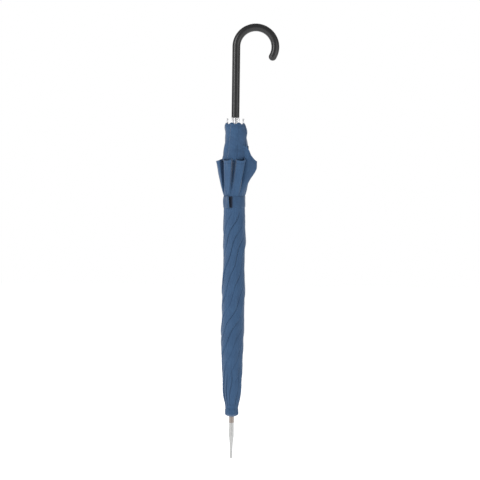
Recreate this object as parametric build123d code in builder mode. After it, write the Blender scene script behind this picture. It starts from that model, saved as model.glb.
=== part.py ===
from build123d import *
import os
from math import cos, radians, sin

# A closed walking umbrella, in millimetres. The origin is at the ferrule's tip on the shaft's axis,
# +Z runs up the shaft to the handle, and the crook turns over towards +X.

# ---- driving dimensions -------------------------------------------------------------------------
RIB_COUNT = 8
FIRST_RIB_ANGLE = -22.5        # rib 1's azimuth, in degrees
OPEN_ANGLE = 70.0              # how far each rib swings out

FERRULE_LENGTH = 71.5
FERRULE_TIP_R = 2.5
FERRULE_TIP_LENGTH = 10.0
FERRULE_WIDEST = 44.0          # height of its widest ring
FERRULE_WALL = 0.5
FERRULE_BULGE = 0.4
COLLAR_LENGTH = 12.5
COLLAR_WALL = 0.9

SHAFT_R = 4.0
SHAFT_WALL = 0.8
SHAFT_IN_FERRULE = 26.0
SHAFT_IN_HANDLE = 90.0

CAP_R = 14.0
CAP_HEIGHT = 8.0
CAP_CLOTH = 1.0

COLLAR_TO_PIVOT = 14.0         # from the collar's top up to the plane of the ribs' pivots
PIVOT_OUT = 1.8                # from the notch's hub out to the wire rings' centre line
ARM = 265.0                    # pivot to pivot, the same on the rib and on the stretcher
RIB_LENGTH = 582.0             # from the pivot to the end of the bar
CROWN_EDGE = 1.6               # from the wire ring's centre line out to the crown's rim
CROWN_HEIGHT = 7.0
HUB_WALL = 1.2
NOTCH_HUB_LENGTH = 11.0
WIRE_R = 0.55
CROWN_PIN_R = 0.8

RIB_WIDTH = 2.4
RIB_DEPTH = 2.2
RIB_OFFSET = 1.6               # from the pivot out to the bar's inner face
RIB_ROOT = 6.0                 # from the pivot up to the bar's lower end
RIB_BEND_START = 462.0         # from the pivot up to where the bar leans outwards
RIB_BEND_OUT = 7.8
EYE_R = 1.6
TONGUE = 1.4                   # thickness of the flat ends that sit in the slots
LUG_LENGTH = 10.0
LUG_WALL = 0.55
RIVET_R = 0.6
RIVET_HEAD_R = 1.1
RIVET_HEAD = 0.4
TIP_LENGTH = 8.5
TIP_STEM_R = 1.3
TIP_BALL_R = 1.8

STRETCHER_DEPTH = 2.2
STRETCHER_EYE_R = 1.45

RUNNER_WALL = 1.9              # the gap to the shaft included
RUNNER_LENGTH = 38.5
RUNNER_LIP_OUT = 1.3
RUNNER_LIP = 3.0
WINDOW_START = 12.0            # from the runner's pivot plane up to the window
WINDOW_LENGTH = 12.0
WINDOW_WIDTH = 3.0

CATCH_THICKNESS = 1.2
CATCH_BACK = 0.8
CATCH_ARM = 14.0               # from the catch's pin to the start of its nose
CATCH_TRAVEL = 5.0             # degrees from pressed in to standing out
CATCH_PIN_R = 0.6

HANDLE_R = 8.0
HANDLE_STRAIGHT = 144.9
CROOK_RADIUS = 39.6
CROOK_SWEEP = 210.0

FURL_OVER_ROOT = 1.6           # room between the ribs' outer faces and the cloth, at the roots
FURL_SHOULDER_R = 18.0
FURL_R = 22.2
FURL_WAIST_R = 21.3
NECK_R = 23.2
NECK_OVER_TIPS = 1.2           # and at the ribs' far ends
FURL_CLOTH = 1.2
FURL_START = 9.0               # heights above the ribs' pivots
FURL_SHOULDER = 40.0
FURL_FULL = 127.0
STRAP_START = 410.0
STRAP_WIDTH = 23.0
RUFFLE_START = 434.0
RUFFLE_TOP = 504.0
NECK_FULL = 525.0
RUFFLE_CLOTH = 2.0
RUFFLE_R = [45.0, 38.0, 35.0, 36.0, 38.0, 36.0, 33.0, 38.0]

STRAP_CLOTH = 1.0
STRAP_LAP = 0.7
STRAP_LAP_ANGLE = 188.0
STRAP_LAP_SWEEP = 48.0

# ---- clearances ---------------------------------------------------------------------------------
TURN_CLEAR = 0.05              # radial, between an eye and its rivet or pin
WIRE_CLEAR = 0.10              # radial, between an eye and the curved wire ring
SLIDE_CLEAR = 0.10             # radial, between the runner and the shaft
SIDE_CLEAR = 0.15              # each side of a flat end in its slot
CATCH_SIDE_CLEAR = 0.2
CATCH_END_CLEAR = 0.3
CLOTH_CLEAR = 0.3
GORE_GAP = 1.0                 # degrees between neighbouring gores

# ---- places that follow from them ---------------------------------------------------------------
COLLAR_TOP = FERRULE_LENGTH + COLLAR_LENGTH
COLLAR_R = SHAFT_R + COLLAR_WALL
FERRULE_TOP_R = SHAFT_R + FERRULE_WALL
FERRULE_BODY_R = FERRULE_TOP_R + FERRULE_BULGE
HUB_R = SHAFT_R + HUB_WALL
PIVOT_R = HUB_R + PIVOT_OUT
CROWN_R = PIVOT_R + CROWN_EDGE
RUNNER_R = SHAFT_R + RUNNER_WALL
RUNNER_LIP_R = RUNNER_R + RUNNER_LIP_OUT
CATCH_REACH = RUNNER_R         # the catch's nose comes out as far as the runner's sleeve
PIVOT_Z = COLLAR_TOP + COLLAR_TO_PIVOT
ELBOW_Z = PIVOT_Z + ARM
RUNNER_Z = ELBOW_Z + ARM
RUNNER_STROKE = 2 * ARM * (1 - cos(radians(OPEN_ANGLE)))
RIB_END_Z = PIVOT_Z + RIB_LENGTH
HANDLE_Z = RIB_END_Z + TIP_LENGTH + 1.5
CROOK_Z = HANDLE_Z + HANDLE_STRAIGHT
SHAFT_BOTTOM = FERRULE_LENGTH - SHAFT_IN_FERRULE
SHAFT_TOP = HANDLE_Z + SHAFT_IN_HANDLE
SHAFT_BORE_R = SHAFT_R - SHAFT_WALL
RIB_IN = PIVOT_R + RIB_OFFSET
RIB_OUT = RIB_IN + RIB_DEPTH
FURL_ROOT_R = RIB_OUT + FURL_OVER_ROOT + FURL_CLOTH
NECK_TOP_R = RIB_OUT + RIB_BEND_OUT + NECK_OVER_TIPS + FURL_CLOTH
SLOT = TONGUE + 2 * SIDE_CLEAR
SECTOR = 360 / RIB_COUNT

os.makedirs("parts", exist_ok=True)


def keep(piece, name):
    """Label a finished piece and write its STEP file."""
    piece.part.label = name
    export_step(piece.part, f"parts/{name}.step")


def radial_plane(angle):
    """The plane through the shaft's axis at an azimuth: x runs outwards and y runs up."""
    out = (cos(radians(angle)), sin(radians(angle)), 0)
    side = (sin(radians(angle)), -cos(radians(angle)), 0)
    return Plane(origin=(0, 0, 0), x_dir=out, z_dir=side)


# ---- shaft, ferrule, collar and cap -------------------------------------------------------------
closed_nose_top = RUNNER_Z + WINDOW_START + WINDOW_LENGTH - CATCH_END_CLEAR
open_nose_bottom = RUNNER_Z - RUNNER_STROKE + WINDOW_START + CATCH_END_CLEAR
NOSE_LENGTH = WINDOW_LENGTH - 3 * CATCH_END_CLEAR
closed_pin_z = closed_nose_top - NOSE_LENGTH - CATCH_ARM
open_pin_z = open_nose_bottom + NOSE_LENGTH + CATCH_ARM
SLOT_SPARE = 1.2               # the nose swings lengthwise as it is pressed in
slot_middles = [closed_nose_top - NOSE_LENGTH / 2, open_nose_bottom + NOSE_LENGTH / 2]
notch_pin_z = PIVOT_Z + CROWN_HEIGHT / 2 + NOTCH_HUB_LENGTH / 2

with BuildPart() as shaft:
    with BuildSketch(Plane.XY.offset(SHAFT_BOTTOM)):
        Circle(SHAFT_R)
        Circle(SHAFT_BORE_R, mode=Mode.SUBTRACT)
    extrude(amount=SHAFT_TOP - SHAFT_BOTTOM)
    with BuildSketch(Plane.YZ):
        with Locations(*[(0, z) for z in slot_middles]):
            Rectangle(CATCH_THICKNESS + 2 * CATCH_SIDE_CLEAR, NOSE_LENGTH + 2 * SLOT_SPARE)
    extrude(amount=-SHAFT_R, mode=Mode.SUBTRACT)
    with BuildSketch(Plane.XZ):
        with Locations((0, closed_pin_z), (0, open_pin_z)):
            Circle(CATCH_PIN_R)
        with Locations((0, notch_pin_z)):
            Circle(CROWN_PIN_R)
    extrude(amount=SHAFT_R, both=True, mode=Mode.SUBTRACT)
keep(shaft, "shaft")

with BuildPart() as ferrule:
    with BuildSketch(Plane.XZ):
        with BuildLine():
            Polyline((0, 0), (FERRULE_TIP_R, 0), (FERRULE_TIP_R, FERRULE_TIP_LENGTH))
            TangentArc(
                (FERRULE_BODY_R, FERRULE_WIDEST),
                (FERRULE_TIP_R, FERRULE_TIP_LENGTH),
                tangent=(0, 1),
                tangent_from_first=False,
            )
            TangentArc((FERRULE_BODY_R, FERRULE_WIDEST), (FERRULE_TOP_R, FERRULE_LENGTH), tangent=(0, 1))
            Polyline((FERRULE_TOP_R, FERRULE_LENGTH), (0, FERRULE_LENGTH), (0, 0))
        make_face()
    revolve(axis=Axis.Z)
    with BuildSketch(Plane.XY.offset(SHAFT_BOTTOM)):
        Circle(SHAFT_R)
    extrude(amount=SHAFT_IN_FERRULE, mode=Mode.SUBTRACT)
keep(ferrule, "ferrule")

with BuildPart() as collar:
    with BuildSketch(Plane.XY.offset(FERRULE_LENGTH)):
        Circle(COLLAR_R)
        Circle(SHAFT_R, mode=Mode.SUBTRACT)
    extrude(amount=COLLAR_LENGTH)
    chamfer(collar.edges().filter_by(GeomType.CIRCLE).sort_by(SortBy.RADIUS)[-2:], length=0.3)
keep(collar, "ferrule_collar")

with BuildPart() as cap:
    cap_top = COLLAR_TOP + CAP_HEIGHT
    with BuildSketch(Plane.XZ):
        with BuildLine():
            Polyline(
                (SHAFT_R, COLLAR_TOP),
                (COLLAR_R, COLLAR_TOP),
                (CAP_R, cap_top - CAP_CLOTH),
                (CAP_R - CAP_CLOTH, cap_top),
                (COLLAR_R, COLLAR_TOP + CAP_CLOTH),
                (SHAFT_R, COLLAR_TOP + CAP_CLOTH),
                close=True,
            )
        make_face()
    revolve(axis=Axis.Z)
keep(cap, "canopy_cap")


# ---- crowns: the fixed notch and the sliding runner ---------------------------------------------
def crown(pivot_z, bore_r):
    """A slotted crown with its groove for the wire ring."""
    with BuildPart() as ring:
        with BuildSketch(Plane.XY.offset(pivot_z - CROWN_HEIGHT / 2)):
            Circle(CROWN_R)
            Circle(bore_r, mode=Mode.SUBTRACT)
            with PolarLocations((HUB_R + CROWN_R + 1) / 2, RIB_COUNT, start_angle=FIRST_RIB_ANGLE):
                Rectangle(CROWN_R + 1 - HUB_R, SLOT, mode=Mode.SUBTRACT)
        extrude(amount=CROWN_HEIGHT)
        with Locations((0, 0, pivot_z)):
            Torus(PIVOT_R, WIRE_R, mode=Mode.SUBTRACT)
    return ring.part


notch_crown = crown(PIVOT_Z, SHAFT_R)
runner_crown = crown(RUNNER_Z, SHAFT_R + SLIDE_CLEAR)

with BuildPart() as notch:
    add(notch_crown)
    with BuildSketch(Plane.XY.offset(PIVOT_Z + CROWN_HEIGHT / 2)):
        Circle(HUB_R)
        Circle(SHAFT_R, mode=Mode.SUBTRACT)
    extrude(amount=NOTCH_HUB_LENGTH)
    with BuildSketch(Plane.XZ):
        with Locations((0, notch_pin_z)):
            Circle(CROWN_PIN_R)
    extrude(amount=HUB_R, both=True, mode=Mode.SUBTRACT)
keep(notch, "notch")

with BuildPart() as runner:
    add(runner_crown)
    sleeve_z = RUNNER_Z + CROWN_HEIGHT / 2
    with BuildSketch(Plane.XY.offset(sleeve_z)):
        Circle(RUNNER_R)
        Circle(SHAFT_R + SLIDE_CLEAR, mode=Mode.SUBTRACT)
    extrude(amount=RUNNER_LENGTH)
    with BuildSketch(Plane.XY.offset(sleeve_z + RUNNER_LENGTH - RUNNER_LIP)):
        Circle(RUNNER_LIP_R)
        Circle(SHAFT_R + SLIDE_CLEAR, mode=Mode.SUBTRACT)
    extrude(amount=RUNNER_LIP)
    with BuildSketch(Plane.YZ):
        with Locations((0, RUNNER_Z + WINDOW_START + WINDOW_LENGTH / 2)):
            Rectangle(WINDOW_WIDTH, WINDOW_LENGTH)
    extrude(amount=-RUNNER_LIP_R, mode=Mode.SUBTRACT)
keep(runner, "runner")

for name, z in (("notch_wire", PIVOT_Z), ("runner_wire", RUNNER_Z)):
    with BuildPart() as wire:
        with Locations((0, 0, z)):
            Torus(PIVOT_R, WIRE_R)
    keep(wire, name)


# ---- catches in the shaft, and the cross pins ---------------------------------------------------
def catch(pin_z, up):
    """A flat catch on its pin, pressed in. It is drawn with its nose out of the shaft's slot, then turned in."""
    nose_start = pin_z + up * CATCH_ARM
    nose_end = nose_start + up * NOSE_LENGTH
    inside = SHAFT_BORE_R - CATCH_END_CLEAR
    with BuildPart() as blade:
        with BuildSketch(Plane.XZ):
            with BuildLine():
                Polyline(
                    (-CATCH_BACK, pin_z),
                    (-inside, nose_start),
                    (-CATCH_REACH, nose_end - up * 1.0),
                    (-CATCH_REACH, nose_end),
                    (CATCH_BACK, nose_end),
                    (CATCH_BACK, pin_z),
                    close=True,
                )
            make_face()
            with Locations((0, pin_z)):
                Circle(EYE_R)
                Circle(CATCH_PIN_R + TURN_CLEAR, mode=Mode.SUBTRACT)
        extrude(amount=CATCH_THICKNESS / 2, both=True)
    blade.part = blade.part.rotate(Axis((0, 0, pin_z), (0, 1, 0)), up * CATCH_TRAVEL)
    return blade


keep(catch(closed_pin_z, 1), "closed_catch")
keep(catch(open_pin_z, -1), "open_catch")

cross_pins = [
    ("closed_catch_pin", closed_pin_z, CATCH_PIN_R, SHAFT_R - SLIDE_CLEAR),
    ("open_catch_pin", open_pin_z, CATCH_PIN_R, SHAFT_R - SLIDE_CLEAR),
    ("notch_pin", notch_pin_z, CROWN_PIN_R, HUB_R - SLIDE_CLEAR),
]
for name, z, pin_r, half_length in cross_pins:
    with BuildPart() as pin:
        with BuildSketch(Plane.XZ):
            with Locations((0, z)):
                Circle(pin_r)
        extrude(amount=half_length, both=True)
    keep(pin, name)

# ---- handle -------------------------------------------------------------------------------------
with BuildPart() as handle:
    with BuildLine(Plane.XZ) as spine:
        Line((0, HANDLE_Z), (0, CROOK_Z))
        CenterArc((CROOK_RADIUS, CROOK_Z), CROOK_RADIUS, 180, -CROOK_SWEEP)
    with BuildSketch(Plane.XY.offset(HANDLE_Z)):
        Circle(HANDLE_R)
    sweep()
    with Locations(spine.line @ 1):
        Sphere(HANDLE_R)
    with BuildSketch(Plane.XY.offset(HANDLE_Z)):
        Circle(SHAFT_R)
    extrude(amount=SHAFT_IN_HANDLE, mode=Mode.SUBTRACT)
    chamfer(handle.edges().filter_by(GeomType.CIRCLE).group_by(Axis.Z)[0].sort_by(SortBy.RADIUS)[-1], 0.8)
keep(handle, "handle")

# ---- ribs, their rivets and tips, and the stretchers --------------------------------------------
lug_half = TONGUE / 2 + SIDE_CLEAR + LUG_WALL

for n in range(RIB_COUNT):
    angle = FIRST_RIB_ANGLE + n * SECTOR
    plane = radial_plane(angle)
    number = n + 1

    with BuildPart() as rib:
        with BuildSketch(plane):
            with BuildLine():
                Polyline(
                    (RIB_IN, PIVOT_Z + RIB_ROOT),
                    (RIB_OUT, PIVOT_Z + RIB_ROOT),
                    (RIB_OUT, PIVOT_Z + RIB_BEND_START),
                    (RIB_OUT + RIB_BEND_OUT, RIB_END_Z),
                    (RIB_IN + RIB_BEND_OUT, RIB_END_Z),
                    (RIB_IN, PIVOT_Z + RIB_BEND_START),
                    close=True,
                )
            make_face()
        extrude(amount=RIB_WIDTH / 2, both=True)
        with BuildSketch(plane):
            with Locations((PIVOT_R, PIVOT_Z)):
                Circle(EYE_R)
            with Locations(((RIB_IN + RIB_OUT) / 2, PIVOT_Z + RIB_ROOT + 2)):
                Rectangle(RIB_DEPTH, 2)
            make_hull()
        extrude(amount=TONGUE / 2, both=True)
        with BuildSketch(plane):
            with Locations((PIVOT_R, ELBOW_Z)):
                Circle(EYE_R)
            with Locations(((RIB_IN + RIB_OUT) / 2, ELBOW_Z)):
                Rectangle(RIB_DEPTH, LUG_LENGTH)
            make_hull()
        extrude(amount=lug_half, both=True)
        with BuildSketch(plane):
            with Locations((RIB_IN - EYE_R * 2, ELBOW_Z)):
                Rectangle(EYE_R * 4, LUG_LENGTH + 2)
        extrude(amount=SLOT / 2, both=True, mode=Mode.SUBTRACT)
        with BuildSketch(plane):
            with Locations((PIVOT_R, PIVOT_Z)):
                Circle(WIRE_R + WIRE_CLEAR)
            with Locations((PIVOT_R, ELBOW_Z)):
                Circle(RIVET_R)
        extrude(amount=lug_half, both=True, mode=Mode.SUBTRACT)
    keep(rib, f"rib_{number}")

    with BuildPart() as rivet:
        with BuildSketch(plane):
            with Locations((PIVOT_R, ELBOW_Z)):
                Circle(RIVET_R)
        extrude(amount=lug_half, both=True)
        for side in (1, -1):
            with BuildSketch(plane.offset(side * lug_half)):
                with Locations((PIVOT_R, ELBOW_Z)):
                    Circle(RIVET_HEAD_R)
            extrude(amount=side * RIVET_HEAD)
    keep(rivet, f"rib_rivet_{number}")

    with BuildPart() as tip:
        tip_r = (RIB_IN + RIB_OUT) / 2 + RIB_BEND_OUT
        tip_x = tip_r * cos(radians(angle))
        tip_y = tip_r * sin(radians(angle))
        with BuildSketch(Plane.XY.offset(RIB_END_Z)):
            with Locations((tip_x, tip_y)):
                Circle(TIP_STEM_R)
        extrude(amount=TIP_LENGTH - TIP_BALL_R)
        with Locations((tip_x, tip_y, RIB_END_Z + TIP_LENGTH - TIP_BALL_R)):
            Sphere(TIP_BALL_R)
    keep(tip, f"rib_tip_{number}")

    with BuildPart() as stretcher:
        with BuildSketch(plane):
            with Locations((PIVOT_R, ELBOW_Z + ARM / 2)):
                Rectangle(STRETCHER_DEPTH, ARM)
            with Locations((PIVOT_R, ELBOW_Z), (PIVOT_R, RUNNER_Z)):
                Circle(STRETCHER_EYE_R)
            with Locations((PIVOT_R, ELBOW_Z)):
                Circle(RIVET_R + TURN_CLEAR, mode=Mode.SUBTRACT)
            with Locations((PIVOT_R, RUNNER_Z)):
                Circle(WIRE_R + WIRE_CLEAR, mode=Mode.SUBTRACT)
        extrude(amount=TONGUE / 2, both=True)
    keep(stretcher, f"stretcher_{number}")

# ---- the furled canopy, one gore between each rib and the next ----------------------------------
for n in range(RIB_COUNT):
    flare = RUFFLE_R[n]
    start = FIRST_RIB_ANGLE + n * SECTOR + GORE_GAP / 2
    rise = PIVOT_Z
    with BuildPart() as gore:
        with BuildSketch(radial_plane(start)):
            with BuildLine():
                Polyline(
                    (FURL_ROOT_R, rise + FURL_START),
                    (FURL_SHOULDER_R, rise + FURL_SHOULDER),
                    (FURL_R, rise + FURL_FULL),
                    (FURL_R, rise + STRAP_START - 8),
                    (FURL_WAIST_R, rise + STRAP_START - 2),
                    (FURL_WAIST_R, rise + RUFFLE_START),
                    (flare, rise + RUFFLE_TOP),
                    (flare - RUFFLE_CLOTH, rise + RUFFLE_TOP),
                    (FURL_WAIST_R + FURL_CLOTH, rise + RUFFLE_START + 12),
                    (NECK_R, rise + NECK_FULL),
                    (NECK_TOP_R, RIB_END_Z),
                    (NECK_TOP_R - FURL_CLOTH, RIB_END_Z),
                    (NECK_R - FURL_CLOTH, rise + NECK_FULL),
                    (FURL_WAIST_R - FURL_CLOTH, rise + RUFFLE_START),
                    (FURL_WAIST_R - FURL_CLOTH, rise + STRAP_START - 2),
                    (FURL_R - FURL_CLOTH, rise + STRAP_START - 8),
                    (FURL_R - FURL_CLOTH, rise + FURL_FULL),
                    (FURL_SHOULDER_R - FURL_CLOTH, rise + FURL_SHOULDER),
                    (FURL_ROOT_R - FURL_CLOTH, rise + FURL_START),
                    close=True,
                )
            make_face()
        revolve(axis=Axis.Z, revolution_arc=SECTOR - GORE_GAP)
    keep(gore, f"canopy_gore_{n + 1}")

# ---- closure strap: a band of cloth whose end laps over itself -----------------------------------
strap_in = FURL_WAIST_R + CLOTH_CLEAR
strap_out = strap_in + STRAP_CLOTH
strap_z = PIVOT_Z + STRAP_START

with BuildPart() as strap:
    with BuildSketch(Plane.XY.offset(strap_z)):
        Circle(strap_out)
        Circle(strap_in, mode=Mode.SUBTRACT)
    extrude(amount=STRAP_WIDTH)
    with BuildSketch(radial_plane(STRAP_LAP_ANGLE)):
        with Locations((strap_in + (STRAP_CLOTH + STRAP_LAP) / 2, strap_z + STRAP_WIDTH / 2)):
            Rectangle(STRAP_CLOTH + STRAP_LAP, STRAP_WIDTH)
    revolve(axis=Axis.Z, revolution_arc=STRAP_LAP_SWEEP)
keep(strap, "closure_strap")
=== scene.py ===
import math

import bpy
import numpy as np
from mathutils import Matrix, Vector


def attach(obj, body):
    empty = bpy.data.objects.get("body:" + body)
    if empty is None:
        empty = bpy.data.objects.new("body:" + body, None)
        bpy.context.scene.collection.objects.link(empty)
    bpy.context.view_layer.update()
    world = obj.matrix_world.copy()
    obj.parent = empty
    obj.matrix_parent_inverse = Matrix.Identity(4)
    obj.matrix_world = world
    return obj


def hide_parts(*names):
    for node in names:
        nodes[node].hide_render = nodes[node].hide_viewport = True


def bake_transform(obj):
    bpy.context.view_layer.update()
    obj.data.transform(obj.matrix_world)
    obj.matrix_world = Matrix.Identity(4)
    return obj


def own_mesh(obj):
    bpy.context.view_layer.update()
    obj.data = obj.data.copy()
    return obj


# A closed walking umbrella on a pale studio floor. The CAD frame gives the metal and the handle;
# the cloth is built here, one sheet for each gore. Heights and radii are in metres unless a name
# or a comment says millimetres.

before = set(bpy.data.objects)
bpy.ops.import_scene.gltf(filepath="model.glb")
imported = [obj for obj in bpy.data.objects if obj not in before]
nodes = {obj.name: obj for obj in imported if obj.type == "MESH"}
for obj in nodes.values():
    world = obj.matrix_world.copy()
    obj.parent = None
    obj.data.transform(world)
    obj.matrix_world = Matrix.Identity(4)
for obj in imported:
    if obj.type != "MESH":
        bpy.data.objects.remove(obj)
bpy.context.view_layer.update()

RIBS = 8
FIRST_RIB = -22.5            # azimuth of rib 1, degrees
SECTOR = 45.0
PIVOT_Z = 0.098              # height of the ribs' pivots
RIB_LENGTH = 0.582
TOP_Z = PIVOT_Z + RIB_LENGTH
BEND_Z = PIVOT_Z + 0.462     # the ribs lean outwards above this height
BEND_OUT = 0.0078
RIB_OUT = 0.0108             # radius of the ribs' outer faces
OPEN_ANGLE = 70.0            # degrees the ribs swing out
# An open gore's width, as a share of its length
OPEN_WIDTH = 2 * math.sin(math.radians(OPEN_ANGLE)) * math.sin(math.radians(SECTOR / 2))

CLOTH_START = 0.0978         # the gores start here, inside the skirt of the cap
STRAP_LOW, STRAP_HIGH = 0.508, 0.531
RIM_Z = 0.602                # the ruffle's corners
SCALLOP = TOP_Z - RIM_Z      # how far the hem dips between two ribs
TWIST = 1050.0               # degrees the wrapped folds turn for each metre up


# ---- helpers ------------------------------------------------------------------------------------
def smooth(x, a, b):
    """0 below a, 1 above b, and an even S between them."""
    t = np.clip((x - a) / (b - a), 0.0, 1.0)
    return t * t * (3 - 2 * t)


def curve(points, x):
    """A smooth curve through a few (x, y) points."""
    px, py = np.array(points, float).T
    slope = np.diff(py) / np.diff(px)
    left = np.concatenate([slope[:1], slope])
    right = np.concatenate([slope, slope[-1:]])
    same = left * right > 0
    tangent = np.where(same, 2 * left * right / np.where(same, left + right, 1.0), 0.0)
    x = np.clip(x, px[0], px[-1])
    i = np.clip(np.searchsorted(px, x, side="right") - 1, 0, len(px) - 2)
    h = px[i + 1] - px[i]
    t = (x - px[i]) / h
    return ((1 + 2 * t) * (1 - t) ** 2 * py[i] + t * (1 - t) ** 2 * h * tangent[i]
            + t * t * (3 - 2 * t) * py[i + 1] + t * t * (t - 1) * h * tangent[i + 1])


def grid_mesh(name, co, uv, edges=None, close_u=False):
    """A quad mesh from a (rows, columns, 3) array, with its UVs in metres of cloth."""
    rows, cols = co.shape[:2]
    last = cols if close_u else cols - 1
    j, i = np.meshgrid(np.arange(rows - 1), np.arange(last), indexing="ij")
    right = (i + 1) % cols
    up = j + 1
    corners = [j * cols + i, j * cols + right, up * cols + right, up * cols + i]
    quads = np.stack(corners, -1).reshape(-1, 4)
    mesh = bpy.data.meshes.new(name)
    mesh.from_pydata(co.reshape(-1, 3).tolist(), [], quads.tolist())
    mesh.polygons.foreach_set("use_smooth", [True] * len(mesh.polygons))
    for layer_name, values in (("cloth", uv), ("edges", edges)):
        if values is not None:
            layer = mesh.uv_layers.new(name=layer_name)
            corner = np.zeros(len(mesh.loops), int)
            mesh.loops.foreach_get("vertex_index", corner)
            layer.data.foreach_set("uv", values.reshape(-1, 2)[corner].astype(np.float32).ravel())
    obj = bpy.data.objects.new(name, mesh)
    bpy.context.scene.collection.objects.link(obj)
    return obj


def polar(az, r, z):
    a = np.radians(az)
    return np.stack([r * np.cos(a), r * np.sin(a), z], -1)


# ---- the furled cloth's outer skin --------------------------------------------------------------
# (height in metres, radius in millimetres)
BODY = [(0.092, 12.3), (0.098, 12.6), (0.108, 13.9), (0.119, 15.8), (0.138, 18.0), (0.160, 19.0),
        (0.180, 19.9), (0.199, 20.9), (0.219, 22.3), (0.240, 22.9), (0.270, 22.5), (0.300, 22.5),
        (0.341, 23.3), (0.361, 22.8), (0.382, 21.9), (0.402, 21.5), (0.422, 22.1), (0.463, 22.1),
        (0.500, 21.8), (0.508, 21.4), (0.531, 21.4), (0.545, 22.4), (0.580, 23.6), (0.605, 26.4),
        (0.617, 25.8), (0.629, 23.6), (0.647, 22.8), (0.660, 22.3), (0.670, 21.7), (0.676, 20.8),
        (0.680, 19.3)]
LAP_STEP = [2.6, 1.2, 2.1, 1.4, 2.7, 0.9, 2.0, 1.2]    # millimetres each wrapped fold stands up
LAP_EDGE = 0.075             # share of a wrapped fold taken by its falling edge
UPRIGHT_FOLDS = 11           # gathers round the tip
UPRIGHT_EDGE = 0.10          # share of a gather taken by its falling edge


def body_r(az, z):
    """Radius of the wrapped cloth in metres: the profile, the folds' steps and the wrinkles."""
    base = curve(BODY, z) / 1000
    a = np.radians(az)
    wander = 7 * np.sin(z * 31 + 1.0) + 5 * np.sin(z * 67 + 2 * a) + 4 * np.sin(a + z * 19)
    phase = (az - TWIST * (z - 0.30) + wander) / SECTOR
    lap = np.floor(phase)
    p = phase - lap
    step = np.array(LAP_STEP)[(lap.astype(int)) % RIBS]
    rise = np.where(p < 1 - LAP_EDGE, (p / (1 - LAP_EDGE)) ** 1.6, (1 - p) / LAP_EDGE)
    live = smooth(z, 0.135, 0.205) * (1 - smooth(z, 0.480, 0.512))
    strength = 0.62 + 0.42 * np.sin(z * 23 + (lap % RIBS) * 2.4)
    groove = np.exp(-((p - 0.012) / 0.028) ** 2) + np.exp(-((p - 1.012) / 0.028) ** 2)
    folds = (step * rise - 1.15 * step * groove) * strength * live
    turn = phase * 2 * np.pi
    creases = 0.16 * np.sin(turn * 3.0 + 2 * np.sin(z * 41)) * np.sin(z * 53 + a * 2)
    creases = creases + 0.12 * np.sin(turn * 5.0 + 1.3 + z * 60)
    creases = creases + 0.10 * np.sin(z * 330 + 5 * np.sin(a + z * 25)) * np.sin(2 * a + z * 47)
    creases = creases * (0.4 + 0.6 * live)
    gather = 1 - smooth(z, 0.135, 0.215)
    # near the tip the cloth is gathered into upright folds, each with a sharp edge on its far side
    upright = UPRIGHT_FOLDS * (a / (2 * np.pi)) - 5.0 * (z - 0.10)
    upright = upright + 0.25 * np.sin(3 * a + 0.8) + 0.12 * np.sin(z * 90 + 2 * a)
    q = upright - np.floor(upright)
    tooth = np.where(q < 1 - UPRIGHT_EDGE, (q / (1 - UPRIGHT_EDGE)) ** 1.4, (1 - q) / UPRIGHT_EDGE)
    slot = np.exp(-((q - 0.03) / 0.045) ** 2) + np.exp(-((q - 1.03) / 0.045) ** 2)
    uneven = 0.75 + 0.25 * np.sin(2 * a + 2.0)
    tip_folds = (2.3 * (tooth - 0.45) - 2.2 * slot) * uneven * gather * smooth(z, 0.096, 0.128)
    under = np.exp(-((z - 0.5195) / 0.024) ** 2)
    pinch = 0.32 * np.sin(19 * a + 2 * np.sin(3 * a)) * under
    neck = smooth(z, 0.600, 0.622)
    soft = neck * (0.75 * np.sin(2 * a - z * 130 + 1.0) + 0.50 * np.sin(3 * a - z * 235)
                   + 0.25 * np.sin(7 * a - z * 90))
    body_lean = 0.7 * smooth(z, 0.24, 0.30) * (1 - smooth(z, 0.47, 0.52))
    neck_lean = 2.0 * neck * (1 - smooth(z, 0.655, 0.682))
    lean = np.cos(a) * (body_lean + neck_lean)
    bulge = -0.9 * np.cos(a) * np.exp(-((z - 0.232) / 0.02) ** 2)
    return base + (folds - 0.45 * live + creases + tip_folds + pinch + soft + lean + bulge) / 1000


# ---- the ruffle above the strap -----------------------------------------------------------------
# The ruffle's outline at the rim, in millimetres: the bottom of the valley before each gore (x, y), then
# each gore's loose fold between its two valleys (share of the skin, x, y).
VALLEYS = [(24.6, -3.0), (18.2, 15.6), (5.5, 21.3), (-8.4, 20.3), (-19.4, 8.0), (-19.8, -2.6), (-3.0, -19.5),
           (18.3, -18.3)]
FOLDS = [
    [(0.25, 30.5, 6.0), (0.50, 35.3, 16.5), (0.75, 25.5, 17.5)],
    [(0.25, 19.5, 24.0), (0.50, 18.2, 32.8), (0.75, 10.5, 27.0)],
    [(0.25, 5.0, 28.0), (0.50, 0.0, 35.5), (0.75, -6.0, 28.0)],
    [(0.25, -15.5, 25.0), (0.50, -26.8, 24.1), (0.75, -24.0, 14.5)],
    [(0.22, -30.0, 5.5), (0.45, -38.4, -1.5), (0.52, -37.8, -3.5), (0.75, -31.0, -11.8), (0.80, -29.4, -11.2),
     (0.90, -24.4, -5.0)],
    [(0.12, -20.4, -11.0), (0.25, -22.6, -21.5), (0.30, -21.4, -24.5), (0.70, -9.5, -34.0),
     (0.76, -7.3, -34.3), (0.86, -5.8, -27.0)],
    [(0.12, 1.0, -24.0), (0.24, 3.4, -30.0), (0.30, 5.0, -32.0), (0.50, 12.5, -32.5), (0.72, 20.2, -30.5),
     (0.78, 21.2, -29.0), (0.88, 19.5, -24.5)],
    [(0.06, 24.2, -19.5), (0.20, 31.2, -17.5), (0.35, 39.5, -12.5), (0.50, 44.6, -6.5), (0.56, 43.0, -4.0),
     (0.66, 37.5, -6.0), (0.80, 30.0, -7.0), (0.94, 24.8, -6.0)],
]
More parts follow.
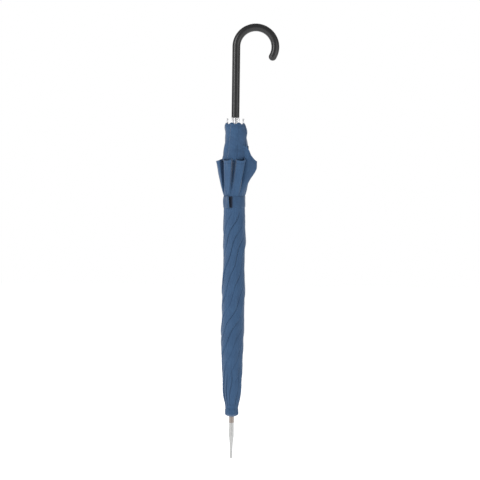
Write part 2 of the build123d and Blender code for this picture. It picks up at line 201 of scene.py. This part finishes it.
# How a fold opens from the strap to the rim
RISE = [(0.0, 0.0), (0.33, 0.36), (1.0, 1.0)]
BIG_RISE = [(0.0, 0.0), (0.15, 0.14), (0.45, 0.52), (0.72, 0.92), (0.82, 1.0), (1.0, 1.0)]
BIG_FOLD = 7


def leaf(number, t, z):
    """Azimuth offset (degrees from the gore's middle) and radius of the loose fold at its t from 0 to 1."""
    middle = FIRST_RIB + SECTOR * (number + 0.5)
    points = [(0.0, *VALLEYS[number])] + FOLDS[number] + [(1.0, *VALLEYS[(number + 1) % RIBS])]
    rim_x = curve([(share_at, x) for share_at, x, _ in points], t) / 1000
    rim_y = curve([(share_at, y) for share_at, _, y in points], t) / 1000
    tau = np.clip((z - STRAP_HIGH) / (RIM_Z - STRAP_HIGH), 0.0, 1.0)
    bump = np.sin(np.pi * t) ** 2
    out = curve(BIG_RISE if number == BIG_FOLD else RISE, tau) ** (0.65 + 0.35 * bump)
    low = np.radians(middle + SECTOR * (t - 0.5))
    low_r = curve(BODY, np.minimum(z, 0.545)) / 1000
    x = low_r * np.cos(low) * (1 - out) + rim_x * out
    y = low_r * np.sin(low) * (1 - out) + rim_y * out
    az = (np.degrees(np.arctan2(y, x)) - middle + 180.0) % 360.0 - 180.0
    flute = (0.45 * np.sin(2 * np.pi * (2.2 * t + 0.13 * number) + 9 * tau)
             + 0.25 * np.sin(2 * np.pi * (5 * t + 0.3 * number)))
    over = 0.5 * smooth(z, 0.596, 0.606)
    return az, np.hypot(x, y) + (flute * bump * out + over) / 1000


# ---- one gore -----------------------------------------------------------------------------------
LAYERS = 10                  # hidden folds on each side of a gore's outer skin
# Which share of each gore's width lies in the hidden folds on either side; the rest shows.
HIDDEN = [0.38, 0.39, 0.39, 0.39, 0.41, 0.41, 0.41, 0.29]
ROWS = 400
SKIN_COLS = 64
FIRST_COLS = 14              # the seam-side fold is the neck's outer surface, so it is finer
NECK_TURN = -16.0            # degrees the neck's folds turn between the rib tips and the ruffle
NECK_DIP = 0.0025            # how far the neck's top edge dips between two ribs

iota = [i / FIRST_COLS for i in range(FIRST_COLS)]
for i in range(1, LAYERS):
    iota += [i, i + 1 / 3, i + 2 / 3]
iota += [LAYERS - 0.1]
iota = np.array(iota)
skin_t = np.linspace(0.0, 1.0, SKIN_COLS + 1)
COLS = 2 * len(iota) + SKIN_COLS + 1
INSET = 0.05                 # degrees each gore stops short of its neighbour
FOLD_SWAY = 0.043            # sideways reach of a fold in the furl, as a share of the open width


def hem_z(u):
    return TOP_Z - SCALLOP * np.sin(np.pi * u) ** 2


def columns(hidden):
    """Each column's share of the gore's width, and its place across the open gore, moved by its fold."""
    hidden_u = hidden * iota / LAYERS
    skin_u = hidden + (1 - 2 * hidden) * skin_t
    skin_away = 2 * hidden * SECTOR * (skin_t - 0.5)
    hidden_away = np.abs((iota + 1) % 2 - 1) * SECTOR - SECTOR * hidden_u
    hidden_open = hidden_u + FOLD_SWAY * np.sin(np.radians(hidden_away))
    skin_open = skin_u + FOLD_SWAY * np.sin(np.radians(skin_away))
    share = np.concatenate([hidden_u, skin_u, 1 - hidden_u[::-1]])
    return share, np.concatenate([hidden_open, skin_open, 1 - hidden_open[::-1]])


def gore(number):
    middle = FIRST_RIB + SECTOR * (number + 0.5)
    share, share_open = columns(HIDDEN[number])
    full = np.linspace(CLOTH_START, TOP_Z, ROWS)[:, None] * np.ones(COLS)
    hem = hem_z(share_open)[None, :]
    above_strap = STRAP_HIGH + (full - STRAP_HIGH) * (hem - STRAP_HIGH) / (TOP_Z - STRAP_HIGH)
    z = np.where(full <= STRAP_HIGH, full, above_strap)
    n = len(iota)
    az = np.zeros_like(z)
    r = np.zeros_like(z)
    # the visible skin, with its loose leaf above the strap
    s = slice(n, n + SKIN_COLS + 1)
    zs = z[:, s]
    t = np.broadcast_to(skin_t[None, :], zs.shape)
    off, radius = leaf(number, t, zs)
    off = off + INSET * (1 - 2 * t)
    az[:, s] = middle + off
    r[:, s] = radius + body_r(middle + off, zs) - curve(BODY, zs) / 1000
    # the folds packed under it
    rib_out = RIB_OUT + BEND_OUT * np.clip((z - BEND_Z) / (TOP_Z - BEND_Z), 0, 1)
    rho = np.clip(z - PIVOT_Z, 0.0, None)
    reach = np.clip(rho / RIB_LENGTH * 1.02, 0.05, 1.0)
    last_u = np.arcsin(np.sqrt(np.clip((TOP_Z - z) / SCALLOP, 0, 1))) / np.pi
    last = np.clip(last_u / HIDDEN[number] * LAYERS, 0.6, LAYERS)
    for side, cols in ((1, slice(0, n)), (-1, slice(COLS - n, COLS))):
        k = iota if side == 1 else iota[::-1]
        zc = z[:, cols]
        tri = np.abs((k + 1) % 2 - 1)
        span = tri[None, :] * (SECTOR - 2 * INSET) * reach[:, cols]
        a = middle - side * (SECTOR / 2 - INSET - span)
        outer = body_r(a, zc)
        smooth_outer = curve(BODY, zc) / 1000
        room = 0.0024 + 0.0020 * smooth(zc, 0.100, 0.140) + 0.0042 * smooth(zc, 0.542, 0.580)
        room = room * (1 - smooth(zc, 0.592, 0.606))
        outer = smooth_outer - room + (outer - smooth_outer) * smooth(zc, 0.592, 0.606)
        inner = np.maximum(rib_out[:, cols] + 0.0004, outer - 0.0012 - 0.055 * rho[:, cols])
        outer = np.maximum(outer, inner + 0.0003)
        x = np.clip(k[None, :] / last[:, cols], 0, 1)
        packed = np.clip((k[None, :] - 1) / np.maximum(last[:, cols] - 1, 0.5), 0, 1) * 0.78
        in_neck = np.where(k[None, :] <= 1, 1.0, packed)
        swap = smooth(zc, 0.590, 0.605)
        depth = x * (1 - swap) + in_neck * swap
        # in the neck one side's first fold lies on top and laps a little over the next gore
        lap_over = 0.0
        lift = -0.0006
        if side == -1:
            lap_over = 3.0 * np.clip(1 - np.abs(k[None, :] - 1) / 0.35, 0, 1) * swap
            lift = (0.0005 * np.clip(k[None, :], 0, 1) - 0.0002) * swap * (k[None, :] <= 1)
        az[:, cols] = a + NECK_TURN * swap * (TOP_Z - zc) / SCALLOP - lap_over
        r[:, cols] = inner + (outer - inner) * depth + lift
        dip = NECK_DIP * np.sin(np.pi * tri[None, :]) ** 2 * smooth(zc, 0.655, TOP_Z)
        z[:, cols] = zc - dip
    co = polar(az, r, z)
    # UVs: metres of cloth across and along, then how far each point is from the seam and from the hem
    step = np.linalg.norm(np.diff(co, axis=1), axis=2)
    across = np.concatenate([np.zeros((ROWS, 1)), np.cumsum(step, axis=1)], axis=1)
    across -= across[:, n + SKIN_COLS // 2][:, None]
    uv = np.stack([across, z - CLOTH_START], -1)
    seam = np.minimum(share, 1 - share)[None, :] * OPEN_WIDTH * rho
    edges = np.stack([seam, hem - z], -1)
    obj = grid_mesh(f"canopy_gore_cloth_{number + 1}", co, uv, edges)
    hidden = np.ones(COLS - 1, bool)
    hidden[n - 1:n + SKIN_COLS + 1] = False
    hidden[:FIRST_COLS] = False
    hidden[COLS - 1 - FIRST_COLS:] = False
    obj.data.polygons.foreach_set("use_smooth", np.tile(~hidden, ROWS - 1))
    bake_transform(obj)
    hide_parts(f"canopy_gore_{number + 1}")
    return obj


gores = [gore(k) for k in range(RIBS)]

# ---- closure strap ------------------------------------------------------------------------------
LAP_FROM, LAP_TO = 188.0, 247.0      # the outer end lies over the inner one between these azimuths
STRAP_THICK = 0.0007
STRAP_R = 0.02235
STRAP_LIFT = 0.0046                  # how far the loose end stands off


def strap():
    """A band once round the furl. Its outer end lies on top and is cut on a slight slant."""
    around = 300
    across = 24
    start, end = LAP_FROM, LAP_TO + 360.0
    a = np.linspace(start, end, around)[None, :] * np.ones((across, 1))
    v = np.linspace(0.0, 1.0, across)[:, None] * np.ones((1, around))
    slant = (v - 0.5) * -3.0 * smooth(a, end - 25, end)
    a = a + slant
    z = STRAP_LOW + (STRAP_HIGH - STRAP_LOW) * v
    rad = np.radians(a)
    tilt = 0.0006 * np.cos(rad - 1.0)
    wave = 0.00022 * np.sin(5 * rad + 7 * v) + 0.00012 * np.sin(13 * rad + 3 * v)
    lap = smooth(a, LAP_FROM + 360 - 6, LAP_FROM + 360 + 2)
    lift = STRAP_LIFT * smooth(a, end - 30, end)
    r = STRAP_R + wave + lap * 0.00085 + lift - 0.0004 * np.abs(2 * v - 1) ** 4
    z = z + tilt
    outer = polar(a, r, z)
    inner = polar(a, r - STRAP_THICK, z)
    rows = np.concatenate([outer, inner[::-1]], axis=0)
    length = np.radians(a - start) * 0.0224
    uv = np.stack([length, v * 0.023], -1)
    uv = np.concatenate([uv, uv[::-1]], axis=0)
    edge = np.minimum(v, 1 - v) * 0.023
    edges = np.stack([edge, np.minimum(length, 10.0)], -1)
    edges = np.concatenate([edges, edges[::-1]], axis=0)
    n_rows, n_cols = rows.shape[:2]
    faces = []
    for j in range(n_rows):
        for i in range(n_cols - 1):
            up = (j + 1) % n_rows
            faces.append((j * n_cols + i, j * n_cols + i + 1, up * n_cols + i + 1, up * n_cols + i))
    for j in range(across - 1):
        back, back_up = n_rows - 1 - j, n_rows - 2 - j
        faces.append((j * n_cols, (j + 1) * n_cols, back_up * n_cols, back * n_cols))
        e = n_cols - 1
        faces.append((j * n_cols + e, back * n_cols + e, back_up * n_cols + e, (j + 1) * n_cols + e))
    mesh = bpy.data.meshes.new("closure_strap_cloth")
    mesh.from_pydata(rows.reshape(-1, 3).tolist(), [], faces)
    mesh.polygons.foreach_set("use_smooth", [True] * len(mesh.polygons))
    corner = np.zeros(len(mesh.loops), int)
    mesh.loops.foreach_get("vertex_index", corner)
    for layer_name, values in (("cloth", uv), ("edges", edges)):
        layer = mesh.uv_layers.new(name=layer_name)
        layer.data.foreach_set("uv", values.reshape(-1, 2)[corner].astype(np.float32).ravel())
    obj = bpy.data.objects.new("closure_strap_cloth", mesh)
    bpy.context.scene.collection.objects.link(obj)
    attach(obj, "rib_6")
    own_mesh(obj)
    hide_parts("closure_strap")
    return obj


strap_obj = strap()


# ---- cap rosette --------------------------------------------------------------------------------
def cap():
    """A small gathered disc of cloth at the canopy's apex, with a pointed corner at each rib."""
    rings, around = 34, 240
    a = np.linspace(0, 360, around, endpoint=False)[None, :] * np.ones((rings, 1))
    s = np.linspace(0.0, 1.0, rings)[:, None] * np.ones((1, around))
    rad = np.radians(a)
    point = np.abs(np.cos(4 * (rad - math.radians(FIRST_RIB)))) ** 3
    disc = np.clip(s / 0.76, 0, 1)           # the gathered disc, then a short skirt over the gores' ends
    skirt = np.clip((s - 0.76) / 0.24, 0, 1)
    pleat = 0.38 * np.abs(np.sin(11 * rad + 1.5 * np.sin(2 * rad))) + 0.22 * np.sin(29 * rad)
    rim = 13.2 + 0.8 * point + 0.3 * np.sin(3 * rad + 1) + pleat
    r = 4.6 + (rim - 4.6) * np.sin(disc * np.pi / 2) ** 0.9 - skirt * (rim - 13.2 - 0.3 * point - 0.5 * pleat)
    z = 84.2 + 6.4 * disc ** 1.15 + (9.4 - 1.0 * point) * skirt
    z = z + 0.4 * disc ** 3 * np.sin(8 * rad + 0.8) + 0.3 * disc * np.sin(5 * rad)
    co = polar(a, r / 1000, z / 1000)
    uv = np.stack([np.radians(a) * 0.010, s * 0.0125], -1)
    edges = np.stack([np.full_like(s, 0.05), (1 - s) * 0.0125], -1)
    obj = grid_mesh("canopy_cap_cloth", co, uv, edges, close_u=True)
    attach(obj, "root")
    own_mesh(obj)
    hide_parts("canopy_cap")
    return obj


cap_obj = cap()


# ---- handle -------------------------------------------------------------------------------------
HANDLE_R = 0.008
HANDLE_Z = 0.690
LIP_R = 0.0008               # rounding of the handle's lower edge
CROOK_Z = 0.8349
CROOK_R = 0.0396
CROOK_SWEEP = math.radians(210)
SHAFT_R = 0.004


def handle():
    """The crook as one smooth tube, rounded at its free end and at the edge where the shaft goes in."""
    straight, bend = CROOK_Z - HANDLE_Z, CROOK_R * CROOK_SWEEP
    around = 64
    stations = []        # (distance along the centre line, radius)
    stations += [(0.0004, r) for r in (SHAFT_R + 0.0001, 0.0056, 0.0068)]
    for t in np.linspace(0, math.pi / 2, 8):
        stations.append((0.0004 + LIP_R * (1 - math.cos(t)), HANDLE_R - LIP_R + LIP_R * math.sin(t)))
    stations += [(d, HANDLE_R) for d in np.linspace(0.0015, straight + bend, 240)]
    for t in np.linspace(0.06, math.pi / 2 - 0.001, 18):
        stations.append((straight + bend + HANDLE_R * math.sin(t), HANDLE_R * math.cos(t)))
    rows = []
    for d, r in stations:
        if d <= straight:
            centre, side = (0.0, HANDLE_Z + d), (1.0, 0.0)
        else:
            t = min(d - straight, bend) / CROOK_R
            past = max(d - straight - bend, 0.0)
            centre = (CROOK_R - CROOK_R * math.cos(t) + past * math.sin(t),
                      CROOK_Z + CROOK_R * math.sin(t) + past * math.cos(t))
            side = (math.cos(t), -math.sin(t))
        ring = []
        for q in np.linspace(0, 2 * math.pi, around, endpoint=False):
            away = r * math.cos(q)
            ring.append((centre[0] + away * side[0], r * math.sin(q), centre[1] + away * side[1]))
        rows.append(ring)
    co = np.array(rows)
    along = np.array([d for d, _ in stations])[:, None] * np.ones((1, around))
    turn = np.linspace(0, 0.05, around)[None, :] * np.ones((len(rows), 1))
    obj = grid_mesh("handle_crook", co, np.stack([turn, along], -1), close_u=True)
    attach(obj, "root")
    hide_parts("handle")
    return obj


handle_obj = handle()


# ---- materials ----------------------------------------------------------------------------------
def material(name, color, rough=0.5, metal=0.0, **sockets):
    m = bpy.data.materials.new(name)
    m.use_nodes = True
    b = m.node_tree.nodes["Principled BSDF"]
    b.inputs["Base Color"].default_value = (*color, 1)
    b.inputs["Roughness"].default_value = rough
    b.inputs["Metallic"].default_value = metal
    for key, value in sockets.items():
        b.inputs[key.replace("_", " ")].default_value = value
    return m, m.node_tree, b


def node(tree, kind, **inputs):
    n = tree.nodes.new(kind)
    for key, value in inputs.items():
        if hasattr(n, key):
            setattr(n, key, value)
        else:
            n.inputs[key.replace("_", " ")].default_value = value
    return n


def srgb(*levels):
    """Linear colour from levels of 0 to 255."""
    linear = []
    for level in levels:
        c = level / 255
        linear.append(c / 12.92 if c <= 0.04045 else ((c + 0.055) / 1.055) ** 2.4)
    return tuple(linear)


def cloth_material(name, dark, light, thread=0.00042):
    """Tightly woven cloth: threads both ways, a faint mottle, a hem fold with its stitches and a seam."""
    m, tree, shader = material(name, light, 0.72, Sheen_Weight=0.35, Sheen_Roughness=0.45,
                               Specular_IOR_Level=0.25)
    link = tree.links.new
    uv = node(tree, "ShaderNodeUVMap", uv_map="cloth")
    edge = node(tree, "ShaderNodeUVMap", uv_map="edges")
    warp = node(tree, "ShaderNodeTexWave", wave_type="BANDS", bands_direction="X",
                Scale=0.05 / thread, Distortion=0.25, Detail=1.0)
    weft = node(tree, "ShaderNodeTexWave", wave_type="BANDS", bands_direction="Y",
                Scale=0.05 / thread, Distortion=0.25, Detail=1.0)
    link(uv.outputs[0], warp.inputs["Vector"])
    link(uv.outputs[0], weft.inputs["Vector"])
    weave = node(tree, "ShaderNodeMath", operation="MAXIMUM")
    link(warp.outputs["Fac"], weave.inputs[0])
    link(weft.outputs["Fac"], weave.inputs[1])
    mottle = node(tree, "ShaderNodeTexNoise", Scale=38.0, Detail=5.0, Roughness=0.6)
    link(uv.outputs[0], mottle.inputs["Vector"])
    streak_map = node(tree, "ShaderNodeMapping")
    streak_map.inputs["Scale"].default_value = (900.0, 12.0, 1.0)
    link(uv.outputs[0], streak_map.inputs["Vector"])
    streak = node(tree, "ShaderNodeTexNoise", Scale=1.0, Detail=2.0)
    link(streak_map.outputs[0], streak.inputs["Vector"])
    tone = node(tree, "ShaderNodeMath", operation="MULTIPLY_ADD")
    link(mottle.outputs["Fac"], tone.inputs[0])
    tone.inputs[1].default_value = 0.75
    link(streak.outputs["Fac"], tone.inputs[2])
    scaled = node(tree, "ShaderNodeMapRange")
    scaled.inputs["From Min"].default_value = 0.55
    scaled.inputs["From Max"].default_value = 1.15
    link(tone.outputs[0], scaled.inputs["Value"])
    mix = node(tree, "ShaderNodeMix", data_type="RGBA")
    color_in = [i for i in mix.inputs if i.type == "RGBA"]
    color_in[0].default_value = (*dark, 1)
    color_in[1].default_value = (*light, 1)
    link(scaled.outputs[0], mix.inputs[0])
    color_out = [o for o in mix.outputs if o.type == "RGBA"][0]
    # the hem: a doubled strip, and a row of stitches along its inner side
    split = node(tree, "ShaderNodeSeparateXYZ")
    link(edge.outputs[0], split.inputs[0])
    hem_line = node(tree, "ShaderNodeMath", operation="COMPARE")
    link(split.outputs["Y"], hem_line.inputs[0])
    hem_line.inputs[1].default_value = 0.0065
    hem_line.inputs[2].default_value = 0.00045
    seam_line = node(tree, "ShaderNodeMath", operation="COMPARE")
    link(split.outputs["X"], seam_line.inputs[0])
    seam_line.inputs[1].default_value = 0.0035
    seam_line.inputs[2].default_value = 0.0004
    faint = node(tree, "ShaderNodeMath", operation="MULTIPLY")
    link(seam_line.outputs[0], faint.inputs[0])
    faint.inputs[1].default_value = 0.35
    lines = node(tree, "ShaderNodeMath", operation="MAXIMUM")
    link(hem_line.outputs[0], lines.inputs[0])
    link(faint.outputs[0], lines.inputs[1])
    dark_lines = node(tree, "ShaderNodeMix", data_type="RGBA", blend_type="MULTIPLY")
    line_in = [i for i in dark_lines.inputs if i.type == "RGBA"]
    line_in[1].default_value = (0.55, 0.55, 0.58, 1)
    fade = node(tree, "ShaderNodeMath", operation="MULTIPLY")
    link(lines.outputs[0], fade.inputs[0])
    fade.inputs[1].default_value = 0.7
    link(fade.outputs[0], dark_lines.inputs[0])
    link(color_out, line_in[0])
    link([o for o in dark_lines.outputs if o.type == "RGBA"][0], shader.inputs["Base Color"])
    height = node(tree, "ShaderNodeMath", operation="SUBTRACT")
    link(weave.outputs[0], height.inputs[0])
    link(lines.outputs[0], height.inputs[1])
    bump = node(tree, "ShaderNodeBump", Strength=0.18, Distance=0.0002)
    link(height.outputs[0], bump.inputs["Height"])
    crumple = node(tree, "ShaderNodeTexNoise", Scale=120.0, Detail=4.0, Roughness=0.55)
    link(uv.outputs[0], crumple.inputs["Vector"])
    bump2 = node(tree, "ShaderNodeBump", Strength=0.25, Distance=0.0008)
    link(crumple.outputs["Fac"], bump2.inputs["Height"])
    link(bump2.outputs[0], bump.inputs["Normal"])
    link(bump.outputs[0], shader.inputs["Normal"])
    return m


def worn_material(name, dark, light, rough, metal, scale=60.0, stretch=(1, 1, 1),
                  bump_height=0.00004, rough_span=0.12):
    """Metal or plastic with fine marks: its tone, its gloss and its surface all vary a little."""
    m, tree, shader = material(name, light, rough, metal)
    link = tree.links.new
    coord = node(tree, "ShaderNodeTexCoord")
    place = node(tree, "ShaderNodeMapping")
    place.inputs["Scale"].default_value = stretch
    link(coord.outputs["Object"], place.inputs["Vector"])
    noise = node(tree, "ShaderNodeTexNoise", Scale=scale, Detail=6.0, Roughness=0.6)
    link(place.outputs[0], noise.inputs["Vector"])
    mix = node(tree, "ShaderNodeMix", data_type="RGBA")
    color_in = [i for i in mix.inputs if i.type == "RGBA"]
    color_in[0].default_value = (*dark, 1)
    color_in[1].default_value = (*light, 1)
    link(noise.outputs["Fac"], mix.inputs[0])
    link([o for o in mix.outputs if o.type == "RGBA"][0], shader.inputs["Base Color"])
    gloss = node(tree, "ShaderNodeMapRange")
    gloss.inputs["To Min"].default_value = max(0.02, rough - rough_span)
    gloss.inputs["To Max"].default_value = rough + rough_span
    link(noise.outputs["Fac"], gloss.inputs["Value"])
    link(gloss.outputs[0], shader.inputs["Roughness"])
    fine = node(tree, "ShaderNodeTexNoise", Scale=scale * 9, Detail=3.0)
    link(place.outputs[0], fine.inputs["Vector"])
    bump = node(tree, "ShaderNodeBump", Strength=0.3, Distance=bump_height)
    link(fine.outputs["Fac"], bump.inputs["Height"])
    link(bump.outputs[0], shader.inputs["Normal"])
    return m


CLOTH = cloth_material("canopy_cloth", srgb(44, 73, 107), srgb(57, 89, 124))
STRAP = cloth_material("strap_cloth", srgb(42, 70, 103), srgb(54, 85, 119), thread=0.00055)


def painted_shadow_patch(m, low, high, color):
    """Painted shadow: darkens the band between two distances along it, beside its loose end, where the lifted
    end's shadow falls.
    """
    tree = m.node_tree
    link = tree.links.new
    shader = tree.nodes["Principled BSDF"]
    before = shader.inputs["Base Color"].links[0].from_socket
    uv = node(tree, "ShaderNodeUVMap", uv_map="cloth")
    split = node(tree, "ShaderNodeSeparateXYZ")
    link(uv.outputs[0], split.inputs[0])
    start = node(tree, "ShaderNodeMapRange", interpolation_type="SMOOTHSTEP")
    start.inputs["From Min"].default_value = low
    start.inputs["From Max"].default_value = low + 0.0008
    link(split.outputs["X"], start.inputs["Value"])
    stop = node(tree, "ShaderNodeMapRange", interpolation_type="SMOOTHSTEP")
    stop.inputs["From Min"].default_value = high
    stop.inputs["From Max"].default_value = high - 0.0050
    link(split.outputs["X"], stop.inputs["Value"])
    inside = node(tree, "ShaderNodeMath", operation="MULTIPLY")
    link(start.outputs[0], inside.inputs[0])
    link(stop.outputs[0], inside.inputs[1])
    mix = node(tree, "ShaderNodeMix", data_type="RGBA")
    color_in = [i for i in mix.inputs if i.type == "RGBA"]
    color_in[1].default_value = (*color, 1)
    link(inside.outputs[0], mix.inputs[0])
    link(before, color_in[0])
    link([o for o in mix.outputs if o.type == "RGBA"][0], shader.inputs["Base Color"])


# painted shadow: a dark strip on the strap beside its lifted loose end, where that end's shadow falls
painted_shadow_patch(STRAP, 0.0195, 0.0310, srgb(19, 29, 47))
HANDLE = worn_material("handle_plastic", srgb(25, 25, 26), srgb(31, 31, 32), 0.30, 0.0, scale=35,
                       bump_height=0.000002, rough_span=0.02)
STEEL = worn_material("shaft_steel", srgb(170, 170, 172), srgb(205, 205, 207), 0.25, 1.0,
                      stretch=(1, 1, 0.08))
RIB_STEEL = worn_material("rib_steel", srgb(160, 161, 165), srgb(198, 199, 203), 0.30, 1.0,
                          stretch=(1, 1, 0.1))
WIRE = worn_material("wire_steel", srgb(150, 150, 152), srgb(190, 190, 192), 0.3, 1.0)
FERRULE = worn_material("ferrule_metal", srgb(172, 172, 172), srgb(198, 198, 197), 0.32, 0.7,
                        stretch=(1, 1, 0.1))
COLLAR = worn_material("collar_metal", srgb(140, 130, 124), srgb(165, 154, 148), 0.34, 0.9,
                       stretch=(1, 1, 0.2))
TIP = worn_material("tip_metal", srgb(200, 200, 202), srgb(228, 228, 230), 0.22, 1.0)
CROWN = worn_material("crown_plastic", srgb(24, 24, 26), srgb(40, 40, 42), 0.45, 0.0)

for obj in gores + [cap_obj]:
    obj.data.materials.clear()
    obj.data.materials.append(CLOTH)
strap_obj.data.materials.append(STRAP)

handle_obj.data.materials.append(HANDLE)
FINISH = {"shaft": STEEL, "ferrule": FERRULE, "ferrule_collar": COLLAR, "notch": CROWN, "runner": CROWN}
for name in ("notch_wire", "runner_wire", "notch_pin", "closed_catch_pin", "open_catch_pin",
             "closed_catch", "open_catch"):
    FINISH[name] = WIRE
for k in range(1, RIBS + 1):
    FINISH[f"rib_{k}"] = RIB_STEEL
    FINISH[f"rib_rivet_{k}"] = RIB_STEEL
    FINISH[f"stretcher_{k}"] = RIB_STEEL
    FINISH[f"rib_tip_{k}"] = TIP
for name, finish in FINISH.items():
    nodes[name].data.materials.clear()
    nodes[name].data.materials.append(finish)

# ---- studio -------------------------------------------------------------------------------------
def stage_plane(name, size, location, rotation=(0, 0, 0)):
    mesh = bpy.data.meshes.new(name)
    h = size / 2
    mesh.from_pydata([(-h, -h, 0), (h, -h, 0), (h, h, 0), (-h, h, 0)], [], [(0, 1, 2, 3)])
    obj = bpy.data.objects.new(name, mesh)
    obj.location = location
    obj.rotation_euler = rotation
    bpy.context.scene.collection.objects.link(obj)
    return obj


floor = stage_plane("floor", 30.0, (0, 0, -0.0005))
floor_mat, _, _ = material("floor_pale", (0.93, 0.93, 0.93), 0.9, Emission_Color=(1, 1, 1, 1),
                           Emission_Strength=0.62)
floor.data.materials.append(floor_mat)

world = bpy.data.worlds.new("studio")
bpy.context.scene.world = world
world.use_nodes = True
backdrop = world.node_tree.nodes["Background"]
backdrop.inputs["Color"].default_value = (1, 1, 1, 1)
seen = world.node_tree.nodes.new("ShaderNodeLightPath")
level = world.node_tree.nodes.new("ShaderNodeMapRange")
level.inputs["To Min"].default_value = 0.42      # as a light
level.inputs["To Max"].default_value = 1.0       # as the backdrop
world.node_tree.links.new(seen.outputs["Is Camera Ray"], level.inputs["Value"])
world.node_tree.links.new(level.outputs[0], backdrop.inputs["Strength"])
bpy.context.scene.view_settings.view_transform = "Standard"


def area_light(name, location, target, size, power, size_y=None):
    data = bpy.data.lights.new(name, "AREA")
    data.energy = power
    data.size = size
    if size_y:
        data.shape = "RECTANGLE"
        data.size_y = size_y
    obj = bpy.data.objects.new(name, data)
    obj.location = location
    obj.rotation_euler = (Vector(target) - Vector(location)).to_track_quat("-Z", "Y").to_euler()
    bpy.context.scene.collection.objects.link(obj)
    return obj


area_light("key", (-2.6, -2.0, 1.6), (0, 0, 0.45), 1.3, 50, 2.0)
area_light("fill", (2.6, -2.2, 0.9), (0, 0, 0.45), 1.0, 17, 1.8)
area_light("back", (0.4, 3.2, 2.4), (0, 0, 0.45), 2.4, 30, 1.6)

camera_data = bpy.data.cameras.new("camera")
camera_data.sensor_width = 36
camera_data.lens = 147.8
camera = bpy.data.objects.new("camera", camera_data)
camera.location = (0.0125, -4.0, 0.4425)
camera.rotation_euler = (math.radians(90), math.radians(-0.75), 0)
bpy.context.scene.collection.objects.link(camera)
bpy.context.scene.camera = camera
